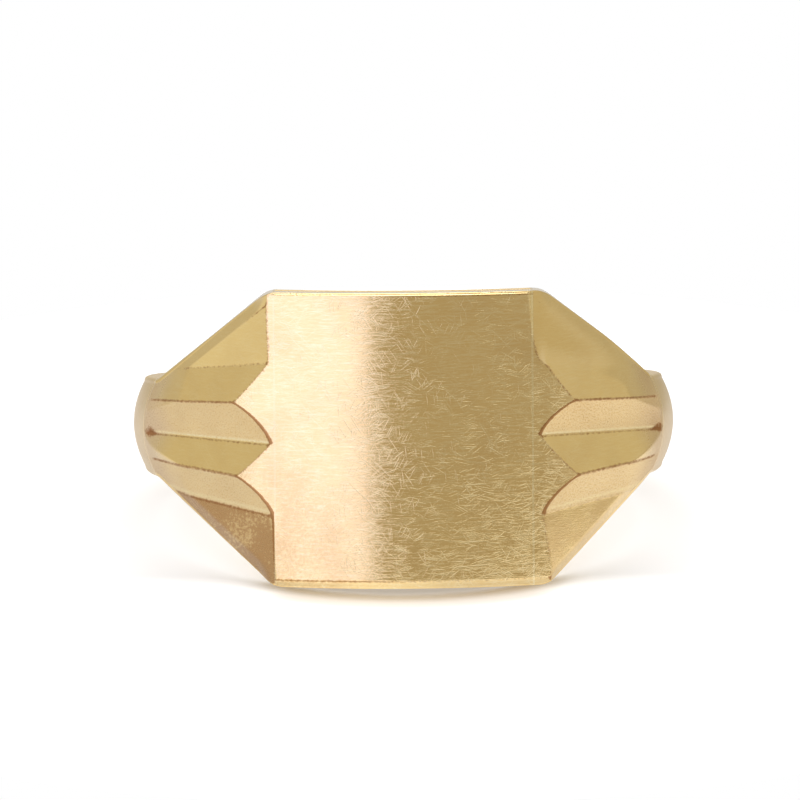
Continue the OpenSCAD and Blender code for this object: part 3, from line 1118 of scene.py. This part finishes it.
def front_camera():
    """The camera: it looks straight at the face from a little above, through a long lens."""
    data = bpy.data.cameras.new("camera")
    data.sensor_width = 36
    data.lens = CAMERA_LENS
    data.clip_start = 0.01
    data.clip_end = 10
    camera = bpy.data.objects.new("camera", data)
    bpy.context.scene.collection.objects.link(camera)
    back = Vector((0, -cos(CAMERA_LIFT), sin(CAMERA_LIFT)))
    level_up = Vector((0, sin(CAMERA_LIFT), cos(CAMERA_LIFT)))
    level_right = Vector((1, 0, 0))
    up = level_up * cos(CAMERA_ROLL) + level_right * sin(CAMERA_ROLL)
    right = level_right * cos(CAMERA_ROLL) - level_up * sin(CAMERA_ROLL)
    turn = Matrix((right, up, back)).transposed()
    place = back * CAMERA_DISTANCE + up * CAMERA_UP - right * CAMERA_LEFT
    camera.matrix_world = Matrix.Translation(place) @ turn.to_4x4()
    return camera


# ---------------------------------------------------------------------------------------------
# Operators and panel
# ---------------------------------------------------------------------------------------------

# Rounding of the head walls' edges, and of the edges of the films of solder in front of them.
WALL_ROUND = 0.1 * MM
FILM_ROUND = 0.02 * MM


def wall_heights(m):
    """The heights between which each head wall stands, and the solder in front of it."""
    return {"upper": (m.wall_z, m.head_z), "lower": (-m.head_z, -m.wall_z)}


class SIGNET_OT_shoulders(bpy.types.Operator):
    """Build both fluted shoulders"""

    bl_idname = "signet.shoulders"
    bl_label = "Shoulders"

    def execute(self, context):
        m = measures(context)
        tint = context.scene.signet_colours.gold
        gold = gold_metal(context, "fluted_gold", tint, polish=0.12, scratches=1.0,
                          marks=("satin", "blush", "dirt", "gleam", "rubbed", "band"))
        for side in SIDES:
            piece, node = shoulder_piece(m, side)
            finished(piece, node, gold)
        return {"FINISHED"}


class SIGNET_OT_head(bpy.types.Operator):
    """Build the face plate and the two head walls"""

    bl_idname = "signet.head"
    bl_label = "Head"

    def execute(self, context):
        m = measures(context)
        tint = context.scene.signet_colours.gold
        face = gold_metal(context, "face_gold", tint, polish=0.12, scratches=1.0,
                          marks=("blush", "dirt", "rubbed"))
        plain = gold_metal(context, "plain_gold", tint, polish=0.34, scratches=0.2, satin=0.6)
        finished(plate_piece(m), "signet_face_plate", face)
        for half, heights in wall_heights(m).items():
            node = half + "_head_wall"
            wall = bar_piece(m, node + "_filed", (m.finger_r, m.wall_r), heights, WALL_ROUND)
            finished(wall, node, plain)
        return {"FINISHED"}


class SIGNET_OT_shank(bpy.types.Operator):
    """Build the shank"""

    bl_idname = "signet.shank"
    bl_label = "Shank"

    def execute(self, context):
        m = measures(context)
        tint = context.scene.signet_colours.gold
        gold = gold_metal(context, "shank_gold", tint, polish=0.24, scratches=0.6, satin=0.3, band=0.8)
        finished(shank_piece(m), "shank", gold)
        return {"FINISHED"}


class SIGNET_OT_solder(bpy.types.Operator):
    """Build the six films of solder"""

    bl_idname = "signet.solder"
    bl_label = "Solder"

    def execute(self, context):
        m = measures(context)
        tint = context.scene.signet_colours.solder
        metal = gold_metal(context, "solder", tint, polish=0.2, scratches=0.8,
                           marks=("blush", "dirt", "gleam", "rubbed"))
        for side in SIDES:
            for make in (face_solder_piece, shank_solder_piece):
                piece, node = make(m, side)
                finished(piece, node, metal)
        for half, heights in wall_heights(m).items():
            node = half + "_wall_solder"
            film = bar_piece(m, node + "_seam", (m.wall_r, m.plate_r), heights, FILM_ROUND)
            finished(film, node, metal)
        return {"FINISHED"}


class SIGNET_OT_stage(bpy.types.Operator):
    """Set up the floor, the light and the camera"""

    bl_idname = "signet.stage"
    bl_label = "Stage"

    def execute(self, context):
        scene = context.scene
        scene.camera = front_camera()
        scene.world = studio_world()
        floor_piece(measures(context)).data.materials.append(floor_material(context))
        scene.view_settings.view_transform = "Standard"
        return {"FINISHED"}


OPERATORS = (SIGNET_OT_shoulders, SIGNET_OT_head, SIGNET_OT_shank, SIGNET_OT_solder, SIGNET_OT_stage)


class SIGNET_PT_panel(bpy.types.Panel):
    """The ring's sizes, colours and building steps"""

    bl_idname = "SIGNET_PT_panel"
    bl_label = "Signet Ring"
    bl_space_type = "VIEW_3D"
    bl_region_type = "UI"
    bl_category = "Signet Ring"

    def draw(self, context):
        scene = context.scene
        for title, group in (("Sizes", scene.signet_sizes), ("Colours", scene.signet_colours)):
            column = self.layout.column(align=True)
            column.label(text=title)
            for name in type(group).__annotations__:
                column.prop(group, name)
        column = self.layout.column(align=True)
        for operator in OPERATORS:
            column.operator(operator.bl_idname)


CLASSES = (SignetSizes, SignetColours, *OPERATORS, SIGNET_PT_panel)


def register():
    for cls in CLASSES:
        bpy.utils.register_class(cls)
    bpy.types.Scene.signet_sizes = PointerProperty(type=SignetSizes)
    bpy.types.Scene.signet_colours = PointerProperty(type=SignetColours)


def unregister():
    del bpy.types.Scene.signet_colours
    del bpy.types.Scene.signet_sizes
    for cls in reversed(CLASSES):
        bpy.utils.unregister_class(cls)


def main():
    """Builds the ring and its stage in order."""
    register()
    bpy.ops.signet.shoulders()
    bpy.ops.signet.head()
    bpy.ops.signet.shank()
    bpy.ops.signet.solder()
    bpy.ops.signet.stage()


if __name__ == "__main__":
    main()
